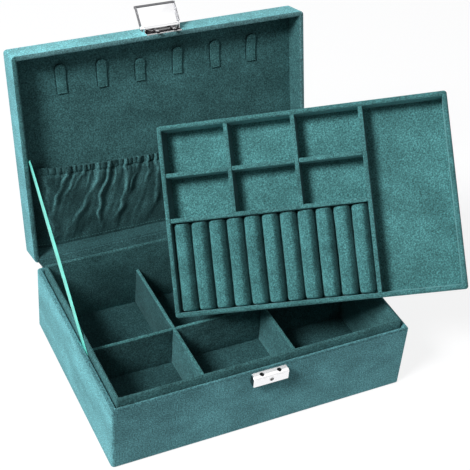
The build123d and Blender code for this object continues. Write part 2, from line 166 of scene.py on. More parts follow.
# how fine each grain is, from the velvet's hairs to the slack of the glued cloth
HAIR_SCALE = 900
NAP_SCALE = 620
MOTTLE_SCALE = 420
STROKE_SCALE = 62
PATCH_SCALE = 30
SLACK_SCALE = 26
SCRATCH_SCALE = 260
THREAD_SCALE = 500
HAIR_DARK = 0.52
HAIR_PALE = 1.75
STROKE_DARK = 0.84
PALE_FROM = 0.16
PALE_TO = 0.62
SHEEN_TINT = (0.45, 0.90, 0.95, 1)


def velvet(name, colour, sheen, pile=1.0, mottle=0.08, brushed=0.13, painted_sheen=1.6):
    """Short pile velvet: speckled pile, mottled nap, brushed patches, and a painted sheen that
    makes it paler when seen aslant.
    """
    made, tree, shader = new_material(name)
    dark, pale = tinted(colour, HAIR_DARK), tinted(colour, HAIR_PALE)
    hairs = [(0.30, dark), (0.50, colour), (0.72, pale)]
    mottled = [(0.32, grey(1 - 2 * mottle)), (0.68, grey(1.0))]
    patches = [(0.35, grey(1 - 2 * brushed)), (0.65, grey(1.0))]
    strokes = [(0.36, grey(STROKE_DARK)), (0.64, grey(1.0))]
    fine = noise_texture(tree, HAIR_SCALE * pile, 2.0)
    tone = ramp(tree, fine.outputs["Fac"], hairs)
    for scale, detail, stretch, stops in (
        (MOTTLE_SCALE * pile, 2.0, None, mottled),
        (PATCH_SCALE, 3.0, (1.0, 0.6, 1.6), patches),
        (STROKE_SCALE, 4.0, (1.0, 1.0, 1.5), strokes),
    ):
        grain = noise_texture(tree, scale, detail, stretch)
        tone = multiply(tree, tone, ramp(tree, grain.outputs["Fac"], stops))
    # painted sheen: the colour is made paler where the surface is seen aslant
    aslant = tree.nodes.new("ShaderNodeLayerWeight")
    aslant.inputs["Blend"].default_value = 0.5
    painted_sheen_lift = map_range(tree, aslant.outputs["Facing"], 1.0, 1.0 + painted_sheen, PALE_FROM, PALE_TO)
    tree.links.new(multiply(tree, tone, painted_sheen_lift), shader.inputs["Base Color"])
    shader.inputs["Roughness"].default_value = 0.95
    shader.inputs["Specular IOR Level"].default_value = 0.08
    shader.inputs["Sheen Weight"].default_value = sheen
    shader.inputs["Sheen Roughness"].default_value = 0.34
    shader.inputs["Sheen Tint"].default_value = SHEEN_TINT
    nap_and_painted_light = bump(tree, noise_texture(tree, NAP_SCALE * pile, 3.0), 0.6, 0.7 * MM)
    slack = bump(tree, noise_texture(tree, SLACK_SCALE, 2.0), 0.35, 3.5 * MM)
    tree.links.new(slack.outputs["Normal"], nap_and_painted_light.inputs["Normal"])
    tree.links.new(nap_and_painted_light.outputs["Normal"], shader.inputs["Normal"])
    return made


def plated(name, colour, roughness, scratches=0.04):
    """Bright plated metal with faint handling marks in the gloss."""
    made, tree, shader = new_material(name)
    shader.inputs["Base Color"].default_value = (*colour, 1)
    shader.inputs["Metallic"].default_value = 1.0
    marks = noise_texture(tree, SCRATCH_SCALE, 4.0, (1.0, 0.25, 1.0))
    gloss = map_range(tree, marks.outputs["Fac"], roughness, roughness + scratches)
    tree.links.new(gloss, shader.inputs["Roughness"])
    return made


def satin(name, colour):
    """Satin ribbon: fine threads across its length and a soft gloss."""
    made, tree, shader = new_material(name)
    threads = noise_texture(tree, THREAD_SCALE, 2.0, (1.0, 0.3, 0.3))
    weave = [(0.3, tinted(colour, 0.82)), (0.7, tinted(colour, 1.12))]
    tree.links.new(ramp(tree, threads.outputs["Fac"], weave), shader.inputs["Base Color"])
    shader.inputs["Roughness"].default_value = 0.42
    shader.inputs["Sheen Weight"].default_value = 0.25
    shader.inputs["Sheen Roughness"].default_value = 0.3
    return made


case_velvet = velvet("case_velvet", (0.066, 0.178, 0.195), 0.40, painted_sheen=2.2)
# painted light: a lighter copy of the case velvet for the lid's front
lid_front_painted_light_velvet = velvet("lid_front_painted_light_velvet", (0.088, 0.232, 0.250), 0.45, painted_sheen=2.3)
lining_velvet = velvet("lining_velvet", (0.057, 0.160, 0.167), 0.20, painted_sheen=0.45)
# painted shade: darker copies of the velvet for the base's dividers and floor, the lid's faces by
# the hinges and the hinge strip
interior_painted_shade_velvet = velvet("interior_painted_shade_velvet", (0.038, 0.106, 0.112), 0.15, painted_sheen=0.45)
floor_painted_shade_velvet = velvet("floor_painted_shade_velvet", (0.033, 0.094, 0.100), 0.15, painted_sheen=0.45)
# painted light: a lighter copy for the base dividers' sides that face the light
lit_velvet = velvet("lit_velvet", (0.062, 0.176, 0.186), 0.20, painted_sheen=0.45)
# painted light: a lighter copy of the lining for the raised tabs
tab_painted_light_velvet = velvet("tab_painted_light_velvet", (0.062, 0.178, 0.184), 0.20, painted_sheen=0.45)
# painted shadow: a dark copy for the bands around the tabs and the tabs' sides
tab_painted_shadow_velvet = velvet("tab_painted_shadow_velvet", (0.026, 0.074, 0.079), 0.10, painted_sheen=0.3)
# painted light: a lighter copy of the case velvet for the lid's rim
rim_painted_light_velvet = velvet("rim_painted_light_velvet", (0.104, 0.235, 0.250), 0.40, painted_sheen=1.0)
# painted shade: a dark copy for the tray boards' sides turned from the light
shade_velvet = velvet("shade_velvet", (0.028, 0.070, 0.073), 0.15, painted_sheen=0.3)
tray_velvet = velvet("tray_velvet", (0.085, 0.262, 0.268), 0.35, painted_sheen=0.5)
board_velvet = velvet("board_velvet", (0.072, 0.218, 0.224), 0.35, painted_sheen=0.5)
pocket_velvet = velvet("pocket_velvet", (0.046, 0.124, 0.130), 0.30, 1.2, 0.05, painted_sheen=0.6)
roll_velvet = velvet("roll_velvet", (0.074, 0.236, 0.243), 0.40, painted_sheen=0.5)


def paint_light_from_attribute(finish, stops):
    """Painted light and shade: the colour is scaled by the piece's own attribute through the
    given stops, paler where the value is high.
    """
    tree = finish.node_tree
    shader = tree.nodes["Principled BSDF"]
    light_attribute = tree.nodes.new("ShaderNodeAttribute")
    light_attribute.attribute_name = "nap_and_painted_light"
    lift = ramp(tree, light_attribute.outputs["Fac"], [(place, grey(share)) for place, share in stops])
    before = shader.inputs["Base Color"].links[0].from_socket
    tree.links.new(multiply(tree, before, lift), shader.inputs["Base Color"])


# painted light on the pocket's lit fold slopes, painted shade on each roll's flank turned from
# the light
paint_light_from_attribute(pocket_velvet, [(0.0, 0.55), (0.40, 0.85), (1.0, 1.75)])
paint_light_from_attribute(roll_velvet, [(0.0, 0.28), (0.15, 0.44), (0.38, 1.0), (1.0, 1.06)])
ribbon_satin = satin("ribbon_satin", (0.16, 0.78, 0.66))
thread = satin("thread", (0.075, 0.230, 0.235))
under_paper = velvet("under_paper", (0.020, 0.030, 0.032), 0.0, 1.6, 0.04, 0.05, painted_sheen=0.2)
lock_plate = plated("lock_plate", (0.90, 0.90, 0.91), 0.20)
# painted shade and painted highlight: darker and lighter copies of the plating for the lock's
# end, bends and flap
bend_shade = plated("bend_shade", (0.20, 0.20, 0.21), 0.30)
bend_bright = plated("bend_bright", (0.96, 0.96, 0.97), 0.55)
# painted shade: a near-black copy of the plating for the hasp's bar and the plate behind it
bar_shade = plated("bar_shade", (0.035, 0.033, 0.036), 0.22)
hinge_steel = plated("hinge_steel", (0.42, 0.42, 0.43), 0.32, 0.10)


def vector_step(tree, operation, source, amount=None):
    made = tree.nodes.new("ShaderNodeVectorMath")
    made.operation = operation
    tree.links.new(source, made.inputs[0])
    if amount is not None:
        made.inputs[1].default_value = amount
    return made


PLUG_HEIGHT = 56 * MM
PLUG_SPAN = 2.5 * MM


def plug_with_painted_groove(name):
    """Plug face: bright rim and centre with a near-black ring between them, painted shade in
    place of a turned groove.
    """
    made = plated(name, (0.88, 0.88, 0.89), 0.16)
    tree = made.node_tree
    place = tree.nodes.new("ShaderNodeTexCoord")
    centred = vector_step(tree, "SUBTRACT", place.outputs["Object"], (0, 0, PLUG_HEIGHT))
    flat = vector_step(tree, "MULTIPLY", centred.outputs["Vector"], (1, 0, 1))
    out = vector_step(tree, "LENGTH", flat.outputs["Vector"])
    radius = map_range(tree, out.outputs["Value"], 0.0, 1.0, 0.0, PLUG_SPAN)
    # painted shade: the near-black ring where a groove would be in shade
    turned = [(0.34, grey(0.85)), (0.38, grey(0.02)), (0.62, grey(0.02)), (0.67, grey(0.88))]
    shader = tree.nodes["Principled BSDF"]
    tree.links.new(ramp(tree, radius, turned), shader.inputs["Base Color"])
    return made


plug_face = plug_with_painted_groove("plug_face")


def dress(node, finish):
    slots = nodes[node].data.materials
    slots.clear()
    slots.append(finish)


# modelling helpers

def select_only(piece):
    bpy.ops.object.select_all(action="DESELECT")
    piece.select_set(True)
    bpy.context.view_layer.objects.active = piece


def add_object(name, data):
    added = bpy.data.objects.new(name, data)
    bpy.context.scene.collection.objects.link(added)
    return added


def apply_all(piece):
    select_only(piece)
    for modifier in list(piece.modifiers):
        bpy.ops.object.modifier_apply(modifier=modifier.name)


def thicken(piece, thickness):
    """A sheet gets its thickness, half to either side."""
    solid = piece.modifiers.new("cloth", "SOLIDIFY")
    solid.thickness = thickness
    solid.offset = 0
    apply_all(piece)


def join_into(piece, others):
    select_only(piece)
    for other in others:
        other.select_set(True)
    bpy.ops.object.join()


def name_and_smooth(piece, name, finish, angle):
    piece.name = name
    piece.data.name = name
    piece.data.materials.clear()
    piece.data.materials.append(finish)
    select_only(piece)
    bpy.ops.object.shade_smooth_by_angle(angle=math.radians(angle))


def finish_piece(piece, name, body, finish, slot, *stands_for, angle=42):
    name_and_smooth(piece, name, finish, angle)
    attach(piece, body)
    if stands_for:
        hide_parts(*stands_for)
    return piece


def pick_faces(piece, wanted):
    """Selects just the faces that are wanted."""
    select_only(piece)
    bpy.ops.object.mode_set(mode="EDIT")
    bpy.ops.mesh.select_mode(type="FACE")
    bpy.ops.mesh.select_all(action="DESELECT")
    bpy.ops.object.mode_set(mode="OBJECT")
    for face in piece.data.polygons:
        face.select = wanted(face)


def any_face(face):
    return True


def cut_faces(piece, wanted, *cuts):
    """Each cut is a point and a direction; only the wanted faces are divided."""
    for point, way in cuts:
        pick_faces(piece, wanted)
        bpy.ops.object.mode_set(mode="EDIT")
        bpy.ops.mesh.bisect(plane_co=point, plane_no=way)
        bpy.ops.object.mode_set(mode="OBJECT")


def paint_faces(piece, *regions):
    """Each region is a finish and a test for its faces; the first test that fits counts."""
    slots = piece.data.materials
    first = len(slots)
    for finish, wanted in regions:
        slots.append(finish)
    for face in piece.data.polygons:
        for number, (finish, wanted) in enumerate(regions, start=first):
            if wanted(face):
                face.material_index = number
                break


WELDED = 0.002 * MM
FLAT_WITHIN = math.radians(1.5)
EDGE_FROM = math.radians(32)


def soft_board(node, body, finish, slot, ease, steps=2):
    """A covered board: the board's own shape with its edges rounded over by the cloth."""
    piece = add_object(node + "_cover", nodes[node].data.copy())
    select_only(piece)
    bpy.ops.object.mode_set(mode="EDIT")
    bpy.ops.mesh.select_all(action="SELECT")
    bpy.ops.mesh.remove_doubles(threshold=WELDED)
    bpy.ops.mesh.dissolve_limited(angle_limit=FLAT_WITHIN)
    bpy.ops.mesh.normals_make_consistent(inside=False)
    bpy.ops.object.mode_set(mode="OBJECT")
    bevel = piece.modifiers.new("turn_over", "BEVEL")
    bevel.width = ease
    bevel.segments = steps
    bevel.limit_method = "ANGLE"
    bevel.angle_limit = EDGE_FROM
    bevel.harden_normals = False
    apply_all(piece)
    return finish_piece(piece, node + "_cover", body, finish, slot, node, angle=50)


# how far a face looks one way; 1 would be straight along it
STRAIGHT = 0.9
NEARLY = 0.8
HALFWAY = 0.5


# covered boards of the base and the lid

CASE_EASE = 0.45 * MM
UNDERSIDE = 0.5 * MM
PAPER_HALF_WIDTH = 0.1235
PAPER_HALF_DEPTH = 0.0835


def cover_base():
    """The velvet turns under the bottom and ends round a sheet of dark paper."""
    cover = soft_board("base_shell", "base", case_velvet, "case_fabric", CASE_EASE)

    def underneath(face):
        return face.normal.z < -STRAIGHT and face.center.z < UNDERSIDE

    def papered(face):
        x, y = abs(face.center.x), abs(face.center.y)
        return x < PAPER_HALF_WIDTH and y < PAPER_HALF_DEPTH and underneath(face)

    cut_faces(
        cover,
        underneath,
        (ACROSS * PAPER_HALF_WIDTH, ACROSS),
        (ACROSS * -PAPER_HALF_WIDTH, ACROSS),
        (BACKWARD * PAPER_HALF_DEPTH, BACKWARD),
        (BACKWARD * -PAPER_HALF_DEPTH, BACKWARD),
    )
    paint_faces(cover, (under_paper, papered))
    soft_board("base_liner", "base", lining_velvet, "lining_fabric", CASE_EASE)


RIM_DEPTH = 2 * MM
LIT_RIM_START = 9 * MM
LIT_RIM_LEFT = -0.1262
INNER_WALLS = 0.1275
FRONT_WALL = 0.17
HINGE_WALL = (5 * MM, 8 * MM)


def cover_lid():
    """The front and the rim are lighter copies of the velvet, painted light; the faces by the
    hinges get painted shade; the walls are lined on their inner sides.
    """
    cover = soft_board("lid_shell", "lid", case_velvet, "case_fabric", CASE_EASE)

    def on_rim(face):
        return face.normal.dot(-LID_UP) > 0.6 and abs(lid_height(face.center)) < RIM_DEPTH

    def long_rim(face):
        return on_rim(face) and lid_reach(face.center) > LIT_RIM_START

    def lit_rim(face):
        return long_rim(face) and face.center.x > LIT_RIM_LEFT

    def lined(face):
        side_wall = abs(face.normal.x) > STRAIGHT and abs(face.center.x) < INNER_WALLS
        return side_wall or long_rim(face)

    def in_front(face):
        return face.normal.dot(-LID_BACK) > 0.75 and lid_reach(face.center) > FRONT_WALL

    def at_hinges(face):
        near, far = HINGE_WALL
        square = abs(face.normal.dot(LID_BACK)) > HALFWAY
        return square and near < lid_reach(face.center) < far

    cut_faces(
        cover,
        on_rim,
        (in_lid(0, LIT_RIM_START, 0), LID_BACK),
        (ACROSS * LIT_RIM_LEFT, ACROSS),
    )
    # painted light on the rim and the front, painted shade by the hinges
    paint_faces(
        cover,
        (rim_painted_light_velvet, lit_rim),
        (lining_velvet, lined),
        (lid_front_painted_light_velvet, in_front),
        (interior_painted_shade_velvet, at_hinges),
    )


cover_base()
cover_lid()


# boards of the tray and the dividers of the base

BOARD_EASE = 0.5 * MM
THIN_BOARD_EASE = 0.7 * MM


def cover_tray_board(node, ease, steps):
    """The side turned from the light gets painted shade."""
    board = soft_board(node, "tray", board_velvet, "tray_fabric", ease, steps)
    across = TRAY_PLACE.to_3x3() @ ACROSS
    paint_faces(board, (shade_velvet, lambda face: face.normal.dot(across) > NEARLY))


def cover_divider(node):
    """Painted light: the top is a paler copy of the velvet, and so is the side that faces the
    light in the front row; the rest is painted shade.
    """
    low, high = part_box("long_divider")
    front_row = (low.y + high.y) / 2
    divider = soft_board(node, "base", interior_painted_shade_velvet, "lining_fabric", BOARD_EASE)

    def left_side(face):
        return face.normal.x < -HALFWAY

    cut_faces(divider, left_side, (BACKWARD * front_row, BACKWARD))
    # painted light on the top and the lit side of the front row, painted shade elsewhere
    paint_faces(
        divider,
        (board_velvet, lambda face: face.normal.z > 0.3),
        (lit_velvet, lambda face: left_side(face) and face.center.y < front_row),
    )


cover_tray_board("tray_walls", BOARD_EASE, 2)
for board in (
    "tray_long_divider",
    "tray_ring_divider",
    "tray_row_divider",
    "tray_column_divider_left",
    "tray_column_divider_right",
):
    cover_tray_board(board, THIN_BOARD_EASE, 3)
for board in ("long_divider", "cross_divider_left", "cross_divider_right"):
    cover_divider(board)
# painted shade: the base's floor gets a darker copy of the velvet
dress("base_floor", floor_painted_shade_velvet)
dress("lid_panel", lining_velvet)
dress("tray_floor", tray_velvet)


# necklace tabs

TAB_EASE = 0.4 * MM
SHADOW_BAND_WIDER = 1.13
SHADOW_BAND_SHORTER = 0.97
SHADOW_BAND_TOP = 0.05 * MM
SHADOW_BAND_BOTTOM = 0.30 * MM

# each tab sits a little differently: across and out in millimetres, degrees, and its length
TAB_PLACES = (
    (1.2, 0.4, -2, 1.0),
    (1.9, 0.2, -1, 0.95),
    (0.9, 0, 0, 0.78),
    (0.4, 0.6, 1, 0.93),
    (0, 0.4, -2, 0.95),
    (0.3, 0.6, 1, 0.95),
)


def make_shadow_band(tab, middle):
    """A dark band on the panel, a little wider than the tab: painted shadow, seen as a line at
    either side of the tab.
    """
    shadow_band = add_object("shadow_band", tab.data.copy())
    for face in shadow_band.data.polygons:
        face.material_index = 1
    on_panel = LID_HINGE.dot(LID_UP) + PANEL_FACE
    for vertex in shadow_band.data.vertices:
        away = vertex.co - middle
        side, along = away.x, away.dot(LID_BACK)
        depth = SHADOW_BAND_TOP if away.dot(LID_UP) > 0 else SHADOW_BAND_BOTTOM
        flat = ACROSS * (middle.x + side * SHADOW_BAND_WIDER) + LID_UP * (on_panel - depth)
        vertex.co = flat + LID_BACK * (middle.dot(LID_BACK) + along * SHADOW_BAND_SHORTER)
    return shadow_band


def make_tab(number, across, out, turned, length):
    """A tab shortened at its far end, with painted shade on its sides, joined to its painted
    shadow band and set a little off its place.
    """
    tab = soft_board(
        "necklace_tab_%d" % number, "lid", tab_painted_light_velvet, "lining_fabric", TAB_EASE
    )
    middle = sum((v.co for v in tab.data.vertices), Vector()) / len(tab.data.vertices)
    near_end = max(v.co.dot(LID_BACK) for v in tab.data.vertices)
    for vertex in tab.data.vertices:
        vertex.co += LID_BACK * (near_end - vertex.co.dot(LID_BACK)) * (1 - length)

    def at_side(face):
        return abs(face.normal.x) > HALFWAY and abs(face.normal.dot(LID_UP)) < 0.35

    # painted shade on the tab's sides
    paint_faces(tab, (tab_painted_shadow_velvet, at_side))
    join_into(tab, [make_shadow_band(tab, middle)])
    turn = Matrix.Rotation(math.radians(turned), 3, LID_UP)
    shift = ACROSS * across * MM - LID_BACK * out * MM
    for vertex in tab.data.vertices:
        vertex.co = middle + turn @ (vertex.co - middle) + shift


for number, places in enumerate(TAB_PLACES, start=1):
    make_tab(number, *places)


# lock, hasp and hinges

LOCK_LEFT_END = -14.6 * MM
PLATE_HALF_WIDTH = 14.9 * MM
LUG_TOP = -1.3 * MM
LUG_FOOT = -3.2 * MM
LUG_DEPTH = 1.1 * MM
FLAP_TURN = math.radians(43)
FLAP_PIN = Vector((0, 0.14392, 0.24142))
FLAP_ALONG = Vector((0, math.cos(FLAP_TURN), math.sin(FLAP_TURN)))
FLAP_BEND = 2.3 * MM
FLAP_SIDE = 16.5 * MM
FLAP_KNUCKLE = 6 * MM


def pressed_metal(node, body, ease):
    """A copy of a sheet metal part with its edges eased as pressing leaves them."""
    piece = soft_board(node, body, lock_plate, "lock_metal", ease)
    piece.name = node + "_pressed"
    piece.data.name = piece.name
    return piece


def dress_lock():
    """Painted shade on the plate behind the bar and on the case's left end; the case's bend is
    rougher and painted a little lighter.
    """
    for metal in ("hasp_plate", "hasp_pin", "lock_case"):
        dress(metal, lock_plate)
    dress("lock_plug", plug_face)
    dress("lock_bolt", hinge_steel)

    def behind_bar(face):
        outward = face.normal.dot(-LID_BACK)
        return outward > STRAIGHT and abs(face.center.x) < PLATE_HALF_WIDTH

    def left_end(face):
        return face.normal.x < -NEARLY and face.center.x < LOCK_LEFT_END

    def bend(face):
        return face.normal.y < -0.12 and face.normal.z > 0.12

    # painted shade on the plate behind the bar
    paint_faces(nodes["hasp_plate"], (bar_shade, behind_bar))
    # painted shade on the left end, a painted highlight on the bend
    paint_faces(nodes["lock_case"], (bend_shade, left_end), (bend_bright, bend))


def make_hook_bar():
    """The bar is painted near black as shade, and only its two lugs keep the bright plating."""
    bar = pressed_metal("hasp_hooks", "lid", 0.08 * MM)
    outward = -LID_BACK
    highest = max(vertex.co.dot(outward) for vertex in bar.data.vertices)

    def in_shade(face):
        on_lug = LUG_FOOT < lid_height(face.center) < LUG_TOP
        return not (on_lug and face.center.dot(outward) > highest - LUG_DEPTH)

    cut_faces(
        bar,
        any_face,
        (in_lid(0, 0, LUG_TOP), LID_UP),
        (in_lid(0, 0, LUG_FOOT), LID_UP),
    )
    # painted shade on all of the bar but its lugs
    paint_faces(bar, (bar_shade, in_shade))


def make_flap():
    """The flap is bent up along its far end and its sides; the bends are painted grey as shade.
    """
    flap = pressed_metal("hasp_flap", "hasp", 0.10 * MM)
    farthest = max((v.co - FLAP_PIN).dot(FLAP_ALONG) for v in flap.data.vertices)

    def bent_up(face):
        along = (face.center - FLAP_PIN).dot(FLAP_ALONG)
        at_side = abs(face.center.x) > FLAP_SIDE - 0.1 * MM and along > FLAP_KNUCKLE
        return along > farthest - FLAP_BEND - 0.05 * MM or at_side

    cut_faces(
        flap,
        any_face,
        (FLAP_PIN + FLAP_ALONG * (farthest - FLAP_BEND), FLAP_ALONG),
        (ACROSS * -FLAP_SIDE, ACROSS),
        (ACROSS * FLAP_SIDE, ACROSS),
    )
    # painted shade on the bends
    paint_faces(flap, (bend_shade, bent_up))


def dress_hinges():
    for side in ("left", "right"):
        for part in ("hinge_leaf_base_", "hinge_leaf_lid_", "hinge_pin_"):
            dress(part + side, hinge_steel)
    dress("hinge_screws_base", hinge_steel)
    dress("hinge_screws_lid", hinge_steel)


dress_lock()
make_hook_bar()
make_flap()
dress_hinges()


# gathered pocket in the lid

POCKET_HALF = 0.1250
POCKET_FOOT = 6.8 * MM
HEADER = 6.2 * MM
MOUTH_MIDDLE = 68.5 * MM
MOUTH_CURVE = 7.5 * MM
SIDE_SEAM = 13 * MM
SWELL_FOOT = 1.4 * MM
SWELL = 6.6 * MM
SWELL_ROUND = 2.1
PLEAT_WIDTH = 9.4 * MM
PLEAT_DRIFT = 3.2
PLEAT_SHIFT = 0.9
PLEAT_BLUNT = 0.75
PLEAT_LOW = 1.2
GATHER = 0.7 * MM
GATHER_BAND = 0.10
RUFFLE = 1.0 * MM
RUFFLE_CALM = 0.65
RAGGED = 0.8 * MM
PINCH = 1.6 * MM
PINCH_WIDTH = 1.1 * MM
SLACK = 0.7 * MM
CLOTH = 0.6 * MM
LOWEST_FOLD = 0.4 * MM
HIGHEST_FOLD = 12.2 * MM
PAINTED_LIGHT_FLAT = 0.34
PAINTED_LIGHT_PER_SLOPE = 0.42 / 0.9

# the folds are laid out in millimetres
FOLDS_START = 70
CREST_WAVER = 2.6
BROAD_SLACK = 2.4
FINE_SLACK = 0.7
SLACK_SLANT = 0.35
FOLD_SPREAD = 16
FOLD_FADE = 0.45
FOLD_TAPER = 4
STEEP_SIDE = 0.40
SLACK_SIDE = 1.35
HOLLOW = 0.30
HOLLOW_AWAY = 2.6
HOLLOW_WIDTH = 1.5
BROKEN_MIDDLE = 0.72
BROKEN_SPREAD = 0.75
FOLD_SHARE = 0.85

# each fold: rise, width, and the points (across, reach) its crest runs through
FOLDS = (
    (2.4, 2.6, ((-91, 72), (-98, 60), (-104, 49), (-107, 34))),
    (1.7, 2.0, ((-84, 71), (-88, 62), (-93, 52))),
    (2.0, 2.2, ((-77, 71), (-82, 64), (-87, 56))),
    (1.7, 1.8, ((-71, 70), (-72, 63), (-75, 54))),
    (2.7, 3.2, ((-62, 70), (-69, 56), (-77, 42), (-93, 20))),
    (2.8, 2.3, ((-53, 69), (-58, 58), (-63, 48), (-66, 32), (-62, 9))),
    (1.6, 2.0, ((-46, 69), (-48, 60), (-51, 52))),
    (3.4, 3.0, ((-39, 69), (-38, 58), (-40, 48), (-45, 32), (-53, 13))),
    (2.0, 2.2, ((-27, 69), (-30, 62), (-34, 54), (-37, 42))),
    (1.7, 2.0, ((-17, 69), (-18, 61), (-21, 50))),
    (2.6, 3.0, ((-9, 68), (-10, 54), (-12, 40), (-11, 22))),
    (1.9, 3.6, ((-109, 36), (-108, 26), (-106, 12))),
    (1.8, 2.2, ((2, 69), (3, 60), (5, 48))),
    (2.7, 3.0, ((12, 69), (15, 54), (14, 36), (18, 18))),
    (1.7, 2.0, ((22, 69), (24, 60), (28, 50))),
    (2.3, 2.6, ((33, 70), (38, 56), (40, 36))),
    (2.9, 2.8, ((47, 70), (50, 56), (58, 40), (60, 18))),
    (1.7, 2.0, ((57, 70), (60, 62), (65, 54))),
    (2.5, 2.6, ((69, 71), (74, 58), (84, 42), (92, 22))),
    (1.9, 2.2, ((80, 71), (84, 62), (91, 52))),
    (2.3, 2.4, ((92, 72), (98, 60), (104, 46), (106, 26))),
    (1.7, 2.0, ((103, 73), (107, 64), (112, 54))),
)


def wander(x, y, z):
    """A smooth random value around zero."""
    return noise.noise(Vector((x, y, z)))


def bell(distance, width):
    return math.exp(-((distance / width) ** 2))


def clamp(share):
    return min(1.0, max(0.0, share))


def ease(share):
    share = clamp(share)
    return share * share * (3 - 2 * share)


def crest_across(points, reach):
    """Where a fold's crest stands at this reach."""
    if reach >= points[0][1]:
        return points[0][0]
    for upper, lower in zip(points, points[1:]):
        if reach >= lower[1]:
            share = (reach - lower[1]) / (upper[1] - lower[1])
            return lower[0] + (upper[0] - lower[0]) * share
    return points[-1][0]


def fold_rise(x, reach):
    """Steep on the side towards the light, long and slack on the other; millimetres."""
    waver = CREST_WAVER * wander(x * 0.05, reach * 0.13, 3.3)
    slanted = x + SLACK_SLANT * (FOLDS_START - reach)
    rise = BROAD_SLACK * wander(slanted * 0.075, reach * 0.028, 8.1)
    rise += FINE_SLACK * wander(slanted * 0.20, reach * 0.05, 2.1)
    for height, width, points in FOLDS:
        away = x + waver - crest_across(points, reach)
        if abs(away) > FOLD_SPREAD:
            continue
        foot, head = points[-1][1], points[0][1]
        fade = ease((reach - foot + FOLD_TAPER) / (FOLD_FADE * (head - foot) + FOLD_TAPER))
        side = width * (STEEP_SIDE + 0.5 * (1 - fade)) if away < 0 else width * SLACK_SIDE
        broken = BROKEN_MIDDLE + BROKEN_SPREAD * wander(points[0][0], reach * 0.09, 5.7)
        hollow = HOLLOW * bell(away - HOLLOW_AWAY * width, HOLLOW_WIDTH * width)
        shape = bell(away, side) - hollow
        rise += FOLD_SHARE * height * fade * broken * shape
    return rise


def pocket_point(across, along):
    """Both run from 0 to 1: over the width, and from the sewn foot to the ruffle's top."""
    x = POCKET_HALF * (2 * across - 1)
    mouth = MOUTH_MIDDLE + MOUTH_CURVE * (x / POCKET_HALF) ** 2
    reach = POCKET_FOOT + (mouth - POCKET_FOOT + HEADER) * along
    to_mouth = min(1.0, (reach - POCKET_FOOT) / (mouth - POCKET_FOOT))
    swell = SWELL_FOOT + SWELL * (1 - (1 - to_mouth) ** SWELL_ROUND)
    side = ease((POCKET_HALF - abs(x)) / SIDE_SEAM)
    drift = PLEAT_DRIFT * wander(x * 75, 1.3, 0)
    phase = x / PLEAT_WIDTH * 2 * math.pi + drift - PLEAT_SHIFT * (reach > mouth)
    pleat = 2 * abs(math.sin(phase)) ** PLEAT_BLUNT - PLEAT_LOW
    above = max(0.0, reach - mouth) / HEADER
    below = bell(1 - to_mouth, GATHER_BAND)
    calm = ease(to_mouth * 6) * (1 - RUFFLE_CALM * above)
    rise = MM * fold_rise(x / MM, reach / MM) * calm
    gather = GATHER * below * pleat + RUFFLE * above * pleat
    pinch = -PINCH * bell(reach - mouth, PINCH_WIDTH)
    slack = SLACK * wander(x * 80, reach * 60, 5.0)
    height = CLOTH + side * (swell + rise + gather + pinch + slack)
    reach += side * above * (RAGGED / 2 * pleat + RAGGED * wander(x * 240, 9.0, 0))
    off_panel = max(LOWEST_FOLD, min(height, HIGHEST_FOLD))
    return in_lid(x, reach, PANEL_FACE - CLOTH / 2 - off_panel)


def make_pocket():
    """The folded cloth, painted paler on the slopes that the light meets."""
    bpy.ops.mesh.primitive_grid_add(x_subdivisions=480, y_subdivisions=72, size=2)
    cloth = bpy.context.active_object
    for vertex in cloth.data.vertices:
        vertex.co = pocket_point((vertex.co.x + 1) / 2, (vertex.co.y + 1) / 2)
    # painted light: a value that rises on the fold slopes that turn towards the light
    nap_and_painted_light = cloth.data.attributes.new("nap_and_painted_light", "FLOAT", "POINT")
    for vertex in cloth.data.vertices:
        x = vertex.co.x / MM
        reach = lid_reach(vertex.co) / MM
        slope = fold_rise(x + 0.5, reach) - fold_rise(x - 0.5, reach)
        nap_and_painted_light.data[vertex.index].value = clamp(PAINTED_LIGHT_FLAT + PAINTED_LIGHT_PER_SLOPE * slope)
    thicken(cloth, CLOTH)
    bpy.ops.object.mode_set(mode="EDIT")
    bpy.ops.mesh.select_all(action="SELECT")
    bpy.ops.mesh.normals_make_consistent(inside=False)
    bpy.ops.object.mode_set(mode="OBJECT")
    finish_piece(
        cloth, "gathered_pocket", "lid", pocket_velvet, "pocket_cloth", "lid_pocket", angle=80
    )


make_pocket()


# stitches along the pocket's foot and across both ends of every necklace tab

STITCH_LENGTH = 0.85 * MM
STITCH_WIDTH = 0.24 * MM
STITCH_HEIGHT = 0.2 * MM
STITCH_TAPER = 0.35
STITCH_STEP = 2.2 * MM
STITCH_SUNK = 0.1 * MM
NEAR_ROW = 1.6
FAR_ROW = 2.4
FOOT_STITCHES = 96
FOOT_MARGIN = 0.02
FOOT_LINE = 0.03


def stitches(name, slot, points):
    """One stitch modelled and copied to each point of the lid's lining."""
    bpy.ops.mesh.primitive_uv_sphere_add(segments=8, ring_count=6, radius=1)
    first = bpy.context.active_object
    for vertex in first.data.vertices:
        x, y, z = vertex.co
        pinch = 1 - STITCH_TAPER * x ** 2
        vertex.co = (x * STITCH_LENGTH, y * STITCH_WIDTH * pinch, z * STITCH_HEIGHT * pinch)
    up = -LID_UP
    axes = Matrix((ACROSS, up.cross(ACROSS), up)).transposed().to_4x4()
    copies = []
    for point in points:
        one = add_object(name, first.data.copy())
        one.data.transform(Matrix.Translation(point) @ axes)
        copies.append(one)
    bpy.data.objects.remove(first)
    join_into(copies[0], copies)
    finish_piece(copies[0], name, "lid", thread, slot)


def foot_points():
    for number in range(FOOT_STITCHES):
        across = FOOT_MARGIN + (1 - 2 * FOOT_MARGIN) * number / (FOOT_STITCHES - 1)
        yield pocket_point(across, FOOT_LINE) - LID_UP * CLOTH / 2


